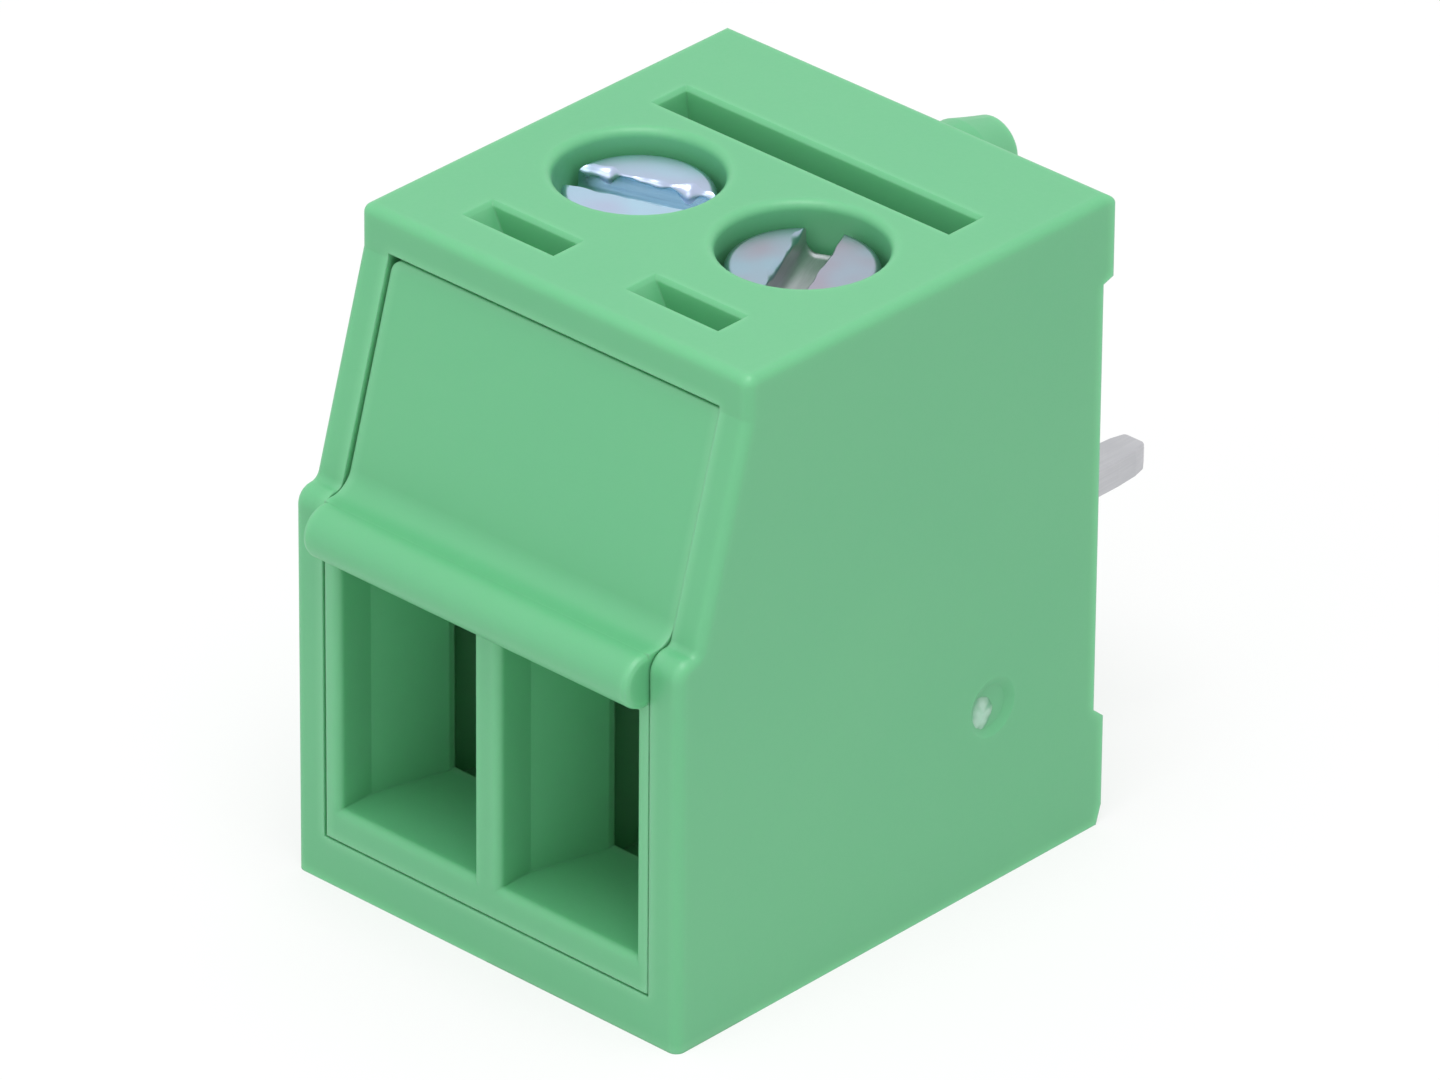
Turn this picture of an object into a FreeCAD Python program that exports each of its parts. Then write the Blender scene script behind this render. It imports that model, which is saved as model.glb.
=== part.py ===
# Two-pole terminal block for circuit boards, with rising clamp cages. Millimetres.
#
# While it is drawn, X runs along the width from its middle, Y runs back from the front face and Z runs
# up from the bottom. Each body is then moved so that the origin is the middle of the bottom face.
import FreeCAD, Part
import os
import Sketcher
from FreeCAD import Vector
from types import SimpleNamespace

POLES = range(1, 3)

# Driving sizes: name, value, what it is
SIZES = (
    ("pole_pitch", 3.81, "distance between the clamp axes"),
    ("middle_wall", 0.61, "wall between the two poles"),
    ("insert_wall", 0.3, "insert outside the wire entries"),
    ("side_wall", 0.67, "shell beside the front insert"),
    ("housing_height", 12.45, "bottom to top face"),
    ("housing_depth", 10.55, "front face to the recessed back"),
    ("standoff", 0.25, "how far the strips on the back stand proud"),
    ("edge_round", 0.18, "rounding of the housing's outer edges"),
    ("ledge_height", 7.6, "top of the lower front, under the slope"),
    ("ledge_flat", 0.13, "flat of the ledge behind its front rounding"),
    ("front_round", 0.35, "rounding where the lower front turns to the ledge"),
    ("foot_round", 0.16, "inner rounding at the foot of the slope"),
    ("brow_depth", 1.65, "where the slope ends, behind the front face"),
    ("brow_drop", 0.82, "end of the slope below the top face"),
    ("upper_strip_height", 1.59, "height of the upper strip on the back"),
    ("lower_strip_height", 2.16, "height of the lower strip on the back"),
    ("upper_strip_bevel", 0.08, "bevel under the upper strip"),
    ("lower_strip_bevel", 0.21, "bevel on the lower strip"),
    ("toe_bevel_height", 0.38, "bevel at the foot of the back"),
    ("toe_bevel_depth", 0.12, "depth of that bevel"),
    ("peg_diameter", 1.6, "locating peg"),
    ("peg_length", 1.93, "peg beyond the strips"),
    ("peg_drop", 1.49, "peg axis below the top face"),
    ("peg_lead", 0.8, "length of the peg's tapered end"),
    ("peg_taper", 0.22, "radius lost along that end"),
    ("peg_boss_wall", 0.55, "round foot of the peg, level with the strips"),
    ("pocket_base", 0.9, "shell under the front insert"),
    ("panel_land", 0.09, "gap between the brow, where the panel ends, and the shell above it"),
    ("insert_depth", 2.45, "front face to the seat of the insert"),
    ("block_step", 0.2, "top of the insert's thick lower part below the ledge"),
    ("panel_thickness", 0.85, "sloped panel, measured level"),
    ("panel_recess", 0.06, "sloped panel behind the shell's slope, measured level"),
    ("panel_corner", 0.22, "rounding of the panel's upper left corner"),
    ("seam_gap", 0.05, "gap round the insert"),
    ("insert_shift", 0.02, "insert nearer the right wall of its pocket"),
    ("lip_radius", 0.51, "round lip above the wire entries"),
    ("lip_reach", 0.57, "lip in front of the front face"),
    ("lip_end_round", 0.1, "rounding of the lip's ends"),
    ("lip_blend", 0.5, "hollow rounding from the lip to the panel"),
    ("insert_floor", 0.62, "insert under the wire entries"),
    ("entry_drop", 1.15, "roof of the wire entry below the ledge"),
    ("entry_straight", 0.8, "straight part of the wire entry"),
    ("entry_round", 0.15, "rounding of the entry's front edges"),
    ("throat_length", 0.15, "throat behind the funnel"),
    ("throat_inset", 0.42, "throat narrower than the entry, each side"),
    ("throat_rise", 0.2, "slope of the throat's roof"),
    ("throat_step", 0.15, "end of that roof below the current bar"),
    ("chamber_floor", 1.0, "floor of the room for the clamp cage"),
    ("chamber_ahead", 0.29, "room in front of the cage"),
    ("chamber_behind", 0.51, "room behind the cage"),
    ("clamp_depth", 5.79, "clamp axis behind the front face"),
    ("well_depth", 1.65, "top face to the shelf under the screw head"),
    ("head_gap", 0.155, "radial gap round the screw head"),
    ("well_round", 0.16, "rounding of the well's rim"),
    ("neck_length", 0.8, "shelf to the ceiling of the room"),
    ("neck_clearance", 0.06, "radial gap round the shank in the neck"),
    ("latch_drop", 0.87, "snap tongues below the pocket's top"),
    ("latch_thickness", 0.5, "thickness of the tongue"),
    ("hook_rise", 0.2, "hook above the pocket's top"),
    ("latch_play", 0.06, "play round each tongue and its hook"),
    ("window_length", 2.0, "short slot in the top, along the width"),
    ("window_width", 0.61, "short slot, front to back"),
    ("window_wall", 0.12, "panel to the short slot"),
    ("window_ramp", 0.45, "slope of the short slot's left end"),
    ("window_draft", 0.06, "taper of its other walls"),
    ("groove_length", 6.8, "long slot in the top"),
    ("groove_width", 0.75, "long slot, front to back"),
    ("groove_wall", 0.52, "screw well to the long slot"),
    ("groove_depth", 1.6, "depth of the long slot"),
    ("groove_ramp", 0.3, "slope of the long slot's left end"),
    ("groove_draft", 0.12, "taper of its other walls"),
    ("rim_bevel", 0.07, "bevel of the slots' rims"),
    ("gate_diameter", 0.8, "flat bottom of the moulding gate's dimple on the right side"),
    ("gate_slope", 0.17, "sloped wall of that dimple, level"),
    ("gate_depth", 0.09, "depth of the dimple"),
    ("gate_y", 7.9, "mark behind the front face"),
    ("gate_z", 3.54, "mark above the bottom"),
    ("shank_diameter", 2.0, "clamp screw"),
    ("head_step", 0.345, "screw head beyond the shank, each side"),
    ("head_height", 1.29, "height of the head"),
    ("head_round", 0.15, "rounding of the head's rim"),
    ("slot_width", 0.7, "driver slot"),
    ("slot_depth", 0.55, "depth of the driver slot"),
    ("slot_angle_1", 19.0, "turn of the left screw's slot from the width, degrees"),
    ("slot_angle_2", -65.0, "turn of the right screw's slot from the width, degrees"),
    ("tip_bevel", 0.25, "bevel at the screw's tip"),
    ("tip_gap", 0.04, "screw tip to current bar"),
    ("thread_clearance", 0.04, "radial gap of the shank in the cage"),
    ("cage_clearance", 0.05, "gap round the cage in its room"),
    ("cage_wall", 0.4, "sides of the cage"),
    ("cage_floor", 0.45, "floor of the cage"),
    ("cage_headroom", 0.05, "cage's threaded top above the current bar, at its lowest place"),
    ("cage_crown", 1.5, "threaded top of the cage"),
    ("cage_length", 4.0, "cage along the wire"),
    ("cage_bend", 0.35, "outer bend radius of the cage"),
    ("bar_gap", 0.05, "current bar to cage, each side"),
    ("bar_height", 4.65, "underside of the current bar"),
    ("bar_thickness", 0.55, "current bar and solder pin"),
    ("pin_width", 0.7, "solder pin"),
    ("pin_reach", 3.77, "solder pin beyond the strips"),
    ("pin_taper", 0.9, "length of the pin's rounded end"),
    ("pin_tip", 0.3, "width of the pin's end"),
    ("pin_tip_bevel", 0.1, "bevel above and below the pin's end"),
    ("pin_clearance", 0.03, "gap round the pin in the back wall"),
)


class Size:
    """A length with its value and the sheet expression that gives it."""

    def __init__(self, value, text):
        self.value = value
        self.text = text

    def _join(self, other, sign, value):
        return Size(value, f"({self.text} {sign} {as_size(other).text})")

    def __add__(self, other):
        return self._join(other, "+", self.value + as_size(other).value)

    def __sub__(self, other):
        return self._join(other, "-", self.value - as_size(other).value)

    def __mul__(self, other):
        return self._join(other, "*", self.value * as_size(other).value)

    def __truediv__(self, other):
        return self._join(other, "/", self.value / as_size(other).value)

    def __neg__(self):
        return Size(-self.value, f"(-{self.text})")


def as_size(number):
    return number if isinstance(number, Size) else Size(float(number), f"({float(number)})")


def make_sheet(doc):
    """Write the driving sizes to a sheet and return them as Size values."""
    sheet = doc.addObject("Spreadsheet::Sheet", "Sizes")
    for row, (name, value, note) in enumerate(SIZES, start=1):
        sheet.set(f"A{row}", name)
        sheet.set(f"B{row}", str(value))
        sheet.set(f"C{row}", note)
        sheet.setAlias(f"B{row}", name)
    doc.recompute()
    return SimpleNamespace(**{name: Size(value, f"Sizes.{name}") for name, value, note in SIZES})


doc = FreeCAD.newDocument("terminal_block")
S = make_sheet(doc)

# Widths, from the poles out to the side faces
entry_width = S.pole_pitch - S.middle_wall
throat_width = entry_width - S.throat_inset * 2
half_pocket = S.pole_pitch / 2 + entry_width / 2 + S.insert_wall + S.seam_gap
half_width = half_pocket + S.side_wall

# Depths, from the front face back
foot_depth = S.front_round + S.ledge_flat
throat_start = S.insert_depth - S.throat_length
seat_y = S.housing_depth + S.standoff
origin_y = (seat_y - S.toe_bevel_depth) / 2
chamber_front = S.clamp_depth - S.cage_length / 2 - S.chamber_ahead
chamber_back = S.clamp_depth + S.cage_length / 2 + S.chamber_behind
window_front = S.brow_depth + S.panel_thickness + S.window_wall
window_back = window_front + S.window_width

# Screw and well
head_diameter = S.shank_diameter + S.head_step * 2
well_diameter = head_diameter + S.head_gap * 2
groove_front = S.clamp_depth + well_diameter / 2 + S.groove_wall
groove_back = groove_front + S.groove_width

# Heights, from the top face down
brow_height = S.housing_height - S.brow_drop
pocket_top = brow_height + S.panel_land
latch_base = pocket_top - S.latch_drop
tongue_top = latch_base + S.latch_thickness
half_tongue = S.window_length / 2 - S.window_ramp - S.latch_play
shelf_height = S.housing_height - S.well_depth
chamber_ceiling = shelf_height - S.neck_length
upper_strip_base = S.housing_height - S.upper_strip_height
peg_height = S.housing_height - S.peg_drop

# Heights, from the ledge down and from the bottom up
block_top = S.ledge_height - S.block_step
entry_top = S.ledge_height - S.entry_drop
entry_floor = S.pocket_base + S.seam_gap + S.insert_floor
throat_top = S.bar_height - S.throat_step
throat_shoulder = throat_top + S.throat_rise
slope = (S.brow_depth - foot_depth) / (brow_height - S.ledge_height)
lip_y = S.lip_radius - S.lip_reach
lip_z = S.ledge_height - S.lip_radius

# Cage, bar and pin
cage_rest = S.chamber_floor + S.cage_clearance
cage_width = entry_width - S.cage_clearance * 2
cage_inner = cage_width - S.cage_wall * 2
bar_top = S.bar_height + S.bar_thickness
bar_width = cage_inner - S.bar_gap * 2


def pole_x(pole):
    return S.pole_pitch * (pole - (POLES[0] + POLES[-1]) / 2)


def slope_y(height):
    """Depth of the sloped front at a height."""
    return foot_depth + slope * (height - S.ledge_height)


def least(first, second):
    """The smaller of two sizes, for a rounding that its wall limits."""
    return Size(min(first.value, second.value), f"min({first.text}; {second.text})")


# Drawing helpers

def new_body(label, x=as_size(0), y=as_size(0)):
    body = doc.addObject("PartDesign::Body", label)
    body.Label = label
    body.setExpression("Placement.Base.x", x.text)
    body.setExpression("Placement.Base.y", (y - origin_y).text)
    return body


def new_sketch(body, name, role, offset=as_size(0), turn=None):
    """Add a sketch on an origin plane of the body, moved along the plane's normal."""
    sketch = body.newObject("Sketcher::SketchObject", name)
    plane = next(f for f in body.Origin.OriginFeatures if f.Role == role)
    sketch.AttachmentSupport = [(plane, "")]
    sketch.MapMode = "FlatFace"
    sketch.setExpression("AttachmentOffset.Base.z", offset.text)
    if turn is not None:
        sketch.setExpression("AttachmentOffset.Rotation.Angle", turn.text)
    return sketch


def pin_point(sketch, geometry, end, name, x, y):
    """Hold one point of a sketch at two sizes from the sketch's origin."""
    for axis, size in (("X", x), ("Y", y)):
        size = as_size(size)
        index = sketch.addConstraint(Sketcher.Constraint(f"Distance{axis}", -1, 1, geometry, end, size.value))
        sketch.renameConstraint(index, f"{name}{axis}")
        sketch.setExpression(f"Constraints.{name}{axis}", size.text)


def polygon(body, name, role, points, offset=as_size(0), turn=None):
    """Add a closed outline of straight lines through the points."""
    sketch = new_sketch(body, name, role, offset, turn)
    places = [Vector(as_size(x).value, as_size(y).value, 0) for x, y in points]
    count = len(places)
    for i in range(count):
        sketch.addGeometry(Part.LineSegment(places[i], places[(i + 1) % count]))
    for i in range(count):
        sketch.addConstraint(Sketcher.Constraint("Coincident", i, 2, (i + 1) % count, 1))
    for i, (x, y) in enumerate(points):
        pin_point(sketch, i, 1, f"corner{i}", x, y)
    return sketch


def rectangle(body, name, role, left, right, low, high, offset=as_size(0), turn=None):
    corners = [(left, low), (right, low), (right, high), (left, high)]
    return polygon(body, name, role, corners, offset, turn)


def circle(body, name, role, x, y, radius, offset=as_size(0)):
    sketch = new_sketch(body, name, role, offset)
    middle = Vector(as_size(x).value, as_size(y).value, 0)
    sketch.addGeometry(Part.Circle(middle, Vector(0, 0, 1), radius.value))
    pin_point(sketch, 0, 3, "middle", x, y)
    index = sketch.addConstraint(Sketcher.Constraint("Radius", 0, radius.value))
    sketch.renameConstraint(index, "radius")
    sketch.setExpression("Constraints.radius", radius.text)
    return sketch


def extrude(body, kind, name, sketch, length, symmetric=False, backward=False):
    """Pad or pocket a sketch, and check that it changes the solid the way it should."""
    before = body.Shape.Volume if body.Tip else 0.0
    feature = body.newObject(f"PartDesign::{kind}", name)
    feature.Profile = sketch
    feature.setExpression("Length", length.text)
    feature.SideType = "Symmetric" if symmetric else "One side"
    feature.Reversed = backward
    doc.recompute()
    check_change(body, name, before, grows=kind == "Pad")
    return feature


def revolve(body, name, sketch, axis):
    """Turn a half section about one of its own straight edges, or about its upright axis."""
    before = body.Shape.Volume if body.Tip else 0.0
    feature = body.newObject("PartDesign::Revolution", name)
    feature.Profile = sketch
    feature.ReferenceAxis = (sketch, [axis])
    feature.Angle = 360
    doc.recompute()
    check_change(body, name, before, grows=True)
    return feature


def cut_loft(body, name, first, *others):
    """Cut the straight-sided form through the sketches."""
    before = body.Shape.Volume
    feature = body.newObject("PartDesign::SubtractiveLoft", name)
    feature.Profile = first
    feature.Sections = list(others)
    feature.Ruled = True
    doc.recompute()
    check_change(body, name, before, grows=False)
    return feature


def check_change(body, name, before, grows):
    change = body.Shape.Volume - before
    if (change > 0) != grows or abs(change) < 1e-6:
        raise RuntimeError(f"{body.Label} {name}: the volume changed by {change:.6f}")


def edges(feature, test):
    names = [f"Edge{i}" for i, edge in enumerate(feature.Shape.Edges, start=1) if test(edge)]
    if not names:
        raise RuntimeError(f"{feature.Name}: no edge found")
    return names


def round_edges(body, name, feature, names, radius):
    fillet = body.newObject("PartDesign::Fillet", name)
    fillet.Base = (feature, names)
    fillet.setExpression("Radius", radius.text)
    doc.recompute()
    if fillet.Shape.isNull():
        raise RuntimeError(f"{body.Label} {name}: the edges can't be rounded by {radius.value:.3f}")
    return fillet


def bevel_edges(body, name, feature, names, size):
    chamfer = body.newObject("PartDesign::Chamfer", name)
    chamfer.Base = (feature, names)
    chamfer.setExpression("Size", size.text)
    doc.recompute()
    return chamfer


def near(value, size):
    return abs(value - as_size(size).value) < 1e-4


def middle(edge):
    return edge.valueAt((edge.FirstParameter + edge.LastParameter) / 2)


def runs_along(edge, axis):
    """Tell whether an edge is straight and lies along X, Y or Z."""
    box = edge.BoundBox
    spans = {"X": box.XLength, "Y": box.YLength, "Z": box.ZLength}
    length = spans.pop(axis)
    return length > 1e-3 and max(spans.values()) < 1e-4


def cross_edges(feature, y, z):
    """The edges along the width that pass through a point of the side view."""
    return edges(feature, lambda e: runs_along(e, "X") and near(middle(e).y, y) and near(middle(e).z, z))


# Housing

def front_outline(low, high_corner, setback=as_size(0)):
    """The front of the side view from its foot to the top of the slope, with the slope set back."""
    return [
        (0, low),
        (0, S.ledge_height),
        (foot_depth + setback, S.ledge_height),
        (S.brow_depth + setback, brow_height),
        (S.brow_depth + setback, high_corner),
    ]


def housing_block(body):
    bevel_base = upper_strip_base - S.upper_strip_bevel
    bevel_top = S.lower_strip_height + S.lower_strip_bevel
    outline = front_outline(0, S.housing_height) + [
        (seat_y, S.housing_height),
        (seat_y, upper_strip_base),
        (S.housing_depth, bevel_base),
        (S.housing_depth, bevel_top),
        (seat_y, S.lower_strip_height),
        (seat_y, S.toe_bevel_height),
        (seat_y - S.toe_bevel_depth, 0),
    ]
    sketch = polygon(body, "SideView", "YZ_Plane", outline)
    block = extrude(body, "Pad", "Block", sketch, half_width * 2, symmetric=True)
    block = round_edges(body, "LedgeRound", block, cross_edges(block, 0, S.ledge_height), S.front_round)
    foot = cross_edges(block, foot_depth, S.ledge_height)
    block = round_edges(body, "FootRound", block, foot, S.foot_round)

    def is_soft(edge):
        point = middle(edge)
        if runs_along(edge, "X"):
            return near(point.z, S.housing_height)
        at_top = near(point.z, S.housing_height)
        behind = point.y > S.housing_depth.value - 0.01
        return at_top or point.z > 0.01 and not behind

    return round_edges(body, "OuterRound", block, edges(block, is_soft), S.edge_round)


def housing_peg(body):
    """Locating peg with a tapered end and a round foot, turned about its own axis."""
    root = S.housing_depth - S.standoff
    tip = seat_y + S.peg_length
    top = peg_height + S.peg_diameter / 2
    outline = [
        (tip, peg_height),
        (root, peg_height),
        (root, top + S.peg_boss_wall),
        (seat_y, top + S.peg_boss_wall),
        (seat_y, top),
        (tip - S.peg_lead, top),
        (tip, top - S.peg_taper),
    ]
    revolve(body, "Peg", polygon(body, "PegHalf", "YZ_Plane", outline), "Edge1")


def housing_pocket(body):
    """Room for the front insert, open to the front."""
    ahead = -S.lip_reach
    outline = [
        (ahead, S.pocket_base),
        (S.insert_depth, S.pocket_base),
        (S.insert_depth, block_top),
        (slope_y(block_top) + S.panel_thickness, block_top),
        (slope_y(pocket_top) + S.panel_thickness, pocket_top),
        (ahead, pocket_top),
    ]
    sketch = polygon(body, "InsertRoom", "YZ_Plane", outline)
    extrude(body, "Pocket", "InsertPocket", sketch, half_pocket * 2, symmetric=True)


def housing_chamber(body, pole):
    """Room for the cage, open to the insert's pocket so that the cage goes in from the front."""
    outline = [
        (S.insert_depth - S.seam_gap, S.chamber_floor),
        (chamber_back, S.chamber_floor),
        (chamber_back, chamber_ceiling),
        (chamber_front, chamber_ceiling),
        (chamber_front, block_top),
        (S.insert_depth - S.seam_gap, block_top),
    ]
    sketch = polygon(body, f"Room{pole}", "YZ_Plane", outline, pole_x(pole))
    extrude(body, "Pocket", f"Chamber{pole}", sketch, entry_width, symmetric=True)


def housing_well(body, pole):
    """Stepped hole for the screw: the head's well, its shelf and the neck below."""
    radius = well_diameter / 2
    sketch = circle(body, f"WellRim{pole}", "XY_Plane", pole_x(pole), S.clamp_depth, radius, S.housing_height)
    well = extrude(body, "Pocket", f"Well{pole}", sketch, S.well_depth)

    def is_rim(edge):
        box = edge.BoundBox
        return near(box.ZMin, S.housing_height) and near(box.XLength, well_diameter)

    rim = least(S.well_round, (S.pole_pitch - well_diameter) / 3)
    round_edges(body, f"WellRound{pole}", well, edges(well, is_rim), rim)
    neck = S.shank_diameter / 2 + S.neck_clearance
    sketch = circle(body, f"NeckRim{pole}", "XY_Plane", pole_x(pole), S.clamp_depth, neck, shelf_height)
    extrude(body, "Pocket", f"Neck{pole}", sketch, S.neck_length)


def cut_slot(body, name, middle_x, length, front, back, floor, ramp, draft):
    """Slot in the top with a bevelled rim, tapered walls and a sloped left end."""
    left = middle_x - length / 2
    right = middle_x + length / 2
    bevel = S.rim_bevel

    def section(label, height, low_x, high_x, inset):
        return rectangle(
            body, f"{name}{label}", "XY_Plane", low_x, high_x, front + inset, back - inset, height
        )

    rim = section("Rim", S.housing_height, left - bevel, right + bevel, -bevel)
    mouth = section("Mouth", S.housing_height - bevel, left, right, as_size(0))
    foot = section("Foot", floor, left + ramp, right - draft, draft)
    cut_loft(body, name, rim, mouth, foot)


def housing_latch(body, pole):
    """Catch for one snap tongue, with the slot in the top that forms it."""
    x = pole_x(pole)
    base = latch_base - S.latch_play * 2
    front = slope_y(base) + S.panel_thickness / 2
    sketch = rectangle(body, f"CatchView{pole}", "YZ_Plane", front, window_back, base, pocket_top, x)
    extrude(body, "Pocket", f"Catch{pole}", sketch, (half_tongue + S.latch_play) * 2, symmetric=True)
    cut_slot(
        body, f"Window{pole}", x, S.window_length, window_front, window_back, pocket_top,
        S.window_ramp, S.window_draft,
    )


def housing_groove(body):
    """Long blind slot behind the screws."""
    cut_slot(
        body, "Groove", as_size(0), S.groove_length, groove_front, groove_back,
        S.housing_height - S.groove_depth, S.groove_ramp, S.groove_draft,
    )


def housing_pin_way(body, pole):
    """Way through the back wall for one solder pin."""
    half = S.pin_width / 2 + S.pin_clearance
    x = pole_x(pole)
    low = S.bar_height - S.pin_clearance
    high = bar_top + S.pin_clearance
    sketch = rectangle(body, f"PinWay{pole}", "XZ_Plane", x - half, x + half, low, high, -chamber_back)
    extrude(body, "Pocket", f"PinSlot{pole}", sketch, seat_y - chamber_back)


def housing_gate(body):
    """Shallow dimple with a sloped wall, where the moulding's gate was broken off."""
    radius = S.gate_diameter / 2
    rim = circle(body, "GateRim", "YZ_Plane", S.gate_y, S.gate_z, radius + S.gate_slope, half_width)
    floor = circle(body, "GateFloor", "YZ_Plane", S.gate_y, S.gate_z, radius, half_width - S.gate_depth)
    cut_loft(body, "GateMark", rim, floor)


def make_housing():
    body = new_body("housing")
    housing_block(body)
    housing_peg(body)
    housing_pocket(body)
    for pole in POLES:
        housing_chamber(body, pole)
        housing_well(body, pole)
        housing_latch(body, pole)
        housing_pin_way(body, pole)
    housing_groove(body)
    housing_gate(body)
    return body


# Front insert

def insert_block(body):
    """Sloped panel up to the brow and lower block, with the round lip across the front."""
    low = S.pocket_base + S.seam_gap
    step = block_top - S.seam_gap
    panel = S.panel_thickness - S.seam_gap
    outline = front_outline(low, brow_height, S.panel_recess)[:-1] + [
        (slope_y(brow_height) + panel, brow_height),
        (slope_y(step) + panel, step),
        (S.insert_depth, step),
        (S.insert_depth, low),
    ]
    half = half_pocket - S.seam_gap
    width = half * 2
    sketch = polygon(body, "InsertView", "YZ_Plane", outline)
    block = extrude(body, "Pad", "InsertBlock", sketch, width, symmetric=True)
    foot = cross_edges(block, foot_depth + S.panel_recess, S.ledge_height)
    block = round_edges(body, "LipBlend", block, foot, S.lip_blend)

    def is_corner(edge):
        return runs_along(edge, "Y") and near(edge.BoundBox.ZMax, brow_height) and near(middle(edge).x, -half)

    round_edges(body, "PanelCorner", block, edges(block, is_corner), S.panel_corner)
    insert_lip(body, half)


def insert_lip(body, half):
    """Round lip across the front, turned about its own axis, with rounded ends."""
    front = lip_y - S.lip_radius
    soft = S.lip_end_round
    outline = [
        (-half, lip_y),
        (half, lip_y),
        (half, front + soft),
        (half - soft * 0.3, front + soft * 0.3),
        (half - soft, front),
        (soft - half, front),
        (soft * 0.3 - half, front + soft * 0.3),
        (-half, front + soft),
    ]
    revolve(body, "Lip", polygon(body, "LipHalf", "XY_Plane", outline, lip_z), "Edge1")


def insert_entry(body, pole):
    """Wire entry: a straight mouth, a funnel and a throat that ends under the current bar."""
    x = pole_x(pole)
    mouth = entry_width / 2
    throat = throat_width / 2

    def section(name, half, top, depth):
        return rectangle(body, f"{name}{pole}", "XZ_Plane", x - half, x + half, entry_floor, top, -depth)

    sketch = section("MouthSection", mouth, entry_top, as_size(0))
    extrude(body, "Pocket", f"Mouth{pole}", sketch, S.entry_straight)
    cut_loft(
        body, f"Funnel{pole}",
        section("FunnelFront", mouth, entry_top, S.entry_straight),
        section("FunnelBack", throat, throat_shoulder, throat_start),
    )
    feature = cut_loft(
        body, f"Throat{pole}",
        section("ThroatFront", throat, throat_shoulder, throat_start),
        section("ThroatBack", throat, throat_top, S.insert_depth),
    )

    def is_mouth_edge(edge):
        point = middle(edge)
        upright = runs_along(edge, "Z") and near(abs(point.x - x.value), mouth)
        return near(point.y, 0) and (upright or near(point.z, entry_floor) and abs(point.x - x.value) < 1)

    round_edges(body, f"MouthRound{pole}", feature, edges(feature, is_mouth_edge), S.entry_round)


def insert_tongue(body, pole):
    """Snap tongue with its hook, which rises into the short slot of the top."""
    root = slope_y(latch_base) + S.panel_thickness / 2
    hook_front = window_front + S.window_draft + S.latch_play
    hook_back = window_back - S.window_draft - S.latch_play
    hook_top = pocket_top + S.hook_rise
    outline = [
        (root, latch_base),
        (hook_back, latch_base),
        (hook_back, hook_top - S.latch_thickness / 2),
        (hook_front, hook_top),
        (hook_front, tongue_top),
        (root, tongue_top),
    ]
    sketch = polygon(body, f"TongueView{pole}", "YZ_Plane", outline, pole_x(pole))
    extrude(body, "Pad", f"Tongue{pole}", sketch, half_tongue * 2, symmetric=True)


def make_insert():
    body = new_body("front_insert", S.insert_shift)
    insert_block(body)
    for pole in POLES:
        insert_entry(body, pole)
        insert_tongue(body, pole)
    return body


# Clamp parts of one pole

def make_cage(pole):
    """Folded clamp cage, drawn round the clamp axis, at its lowest place."""
    body = new_body(f"cage_{pole}", pole_x(pole), S.clamp_depth)
    half = cage_width / 2
    front = -(S.cage_length / 2)
    window_low = cage_rest + S.cage_floor
    window_high = bar_top + S.cage_headroom
    top = window_high + S.cage_crown
    sketch = rectangle(body, f"CageOutline{pole}", "XZ_Plane", -half, half, cage_rest, top, -front)
    cage = extrude(body, "Pad", f"CageBlock{pole}", sketch, S.cage_length, backward=True)
    cage = round_edges(body, f"CageBend{pole}", cage, edges(cage, lambda e: runs_along(e, "Y")), S.cage_bend)
    inner = cage_inner / 2
    sketch = rectangle(
        body, f"CageRoom{pole}", "XZ_Plane", -inner, inner, window_low, window_high, -front
    )
    extrude(body, "Pocket", f"CageWindow{pole}", sketch, S.cage_length)
    radius = S.shank_diameter / 2 + S.thread_clearance
    sketch = circle(body, f"CageBore{pole}", "XY_Plane", 0, 0, radius, top)
    extrude(body, "Pocket", f"CageHole{pole}", sketch, S.cage_crown)
    return body


def make_screw(pole):
    """Slotted clamp screw, turned about its own axis."""
    body = new_body(f"screw_{pole}", pole_x(pole), S.clamp_depth)
    tip = bar_top + S.tip_gap
    shank = S.shank_diameter / 2
    head = head_diameter / 2
    top = shelf_height + S.head_height
    outline = [
        (0, tip),
        (shank - S.tip_bevel, tip),
        (shank, tip + S.tip_bevel),
        (shank, shelf_height),
        (head, shelf_height),
        (head, top),
        (0, top),
    ]
    sketch = polygon(body, f"ScrewHalf{pole}", "XZ_Plane", outline)
    turned = revolve(body, f"Turned{pole}", sketch, "V_Axis")
    rim = edges(turned, lambda e: near(e.BoundBox.ZMin, top) and near(e.BoundBox.XLength, head * 2))
    round_edges(body, f"HeadRound{pole}", turned, rim, S.head_round)
    half = S.slot_width / 2
    turn = S.slot_angle_1 if pole == POLES[0] else S.slot_angle_2
    sketch = rectangle(body, f"SlotRim{pole}", "XY_Plane", -head, head, -half, half, top, turn)
    extrude(body, "Pocket", f"DriverSlot{pole}", sketch, S.slot_depth)
    return body


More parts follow.
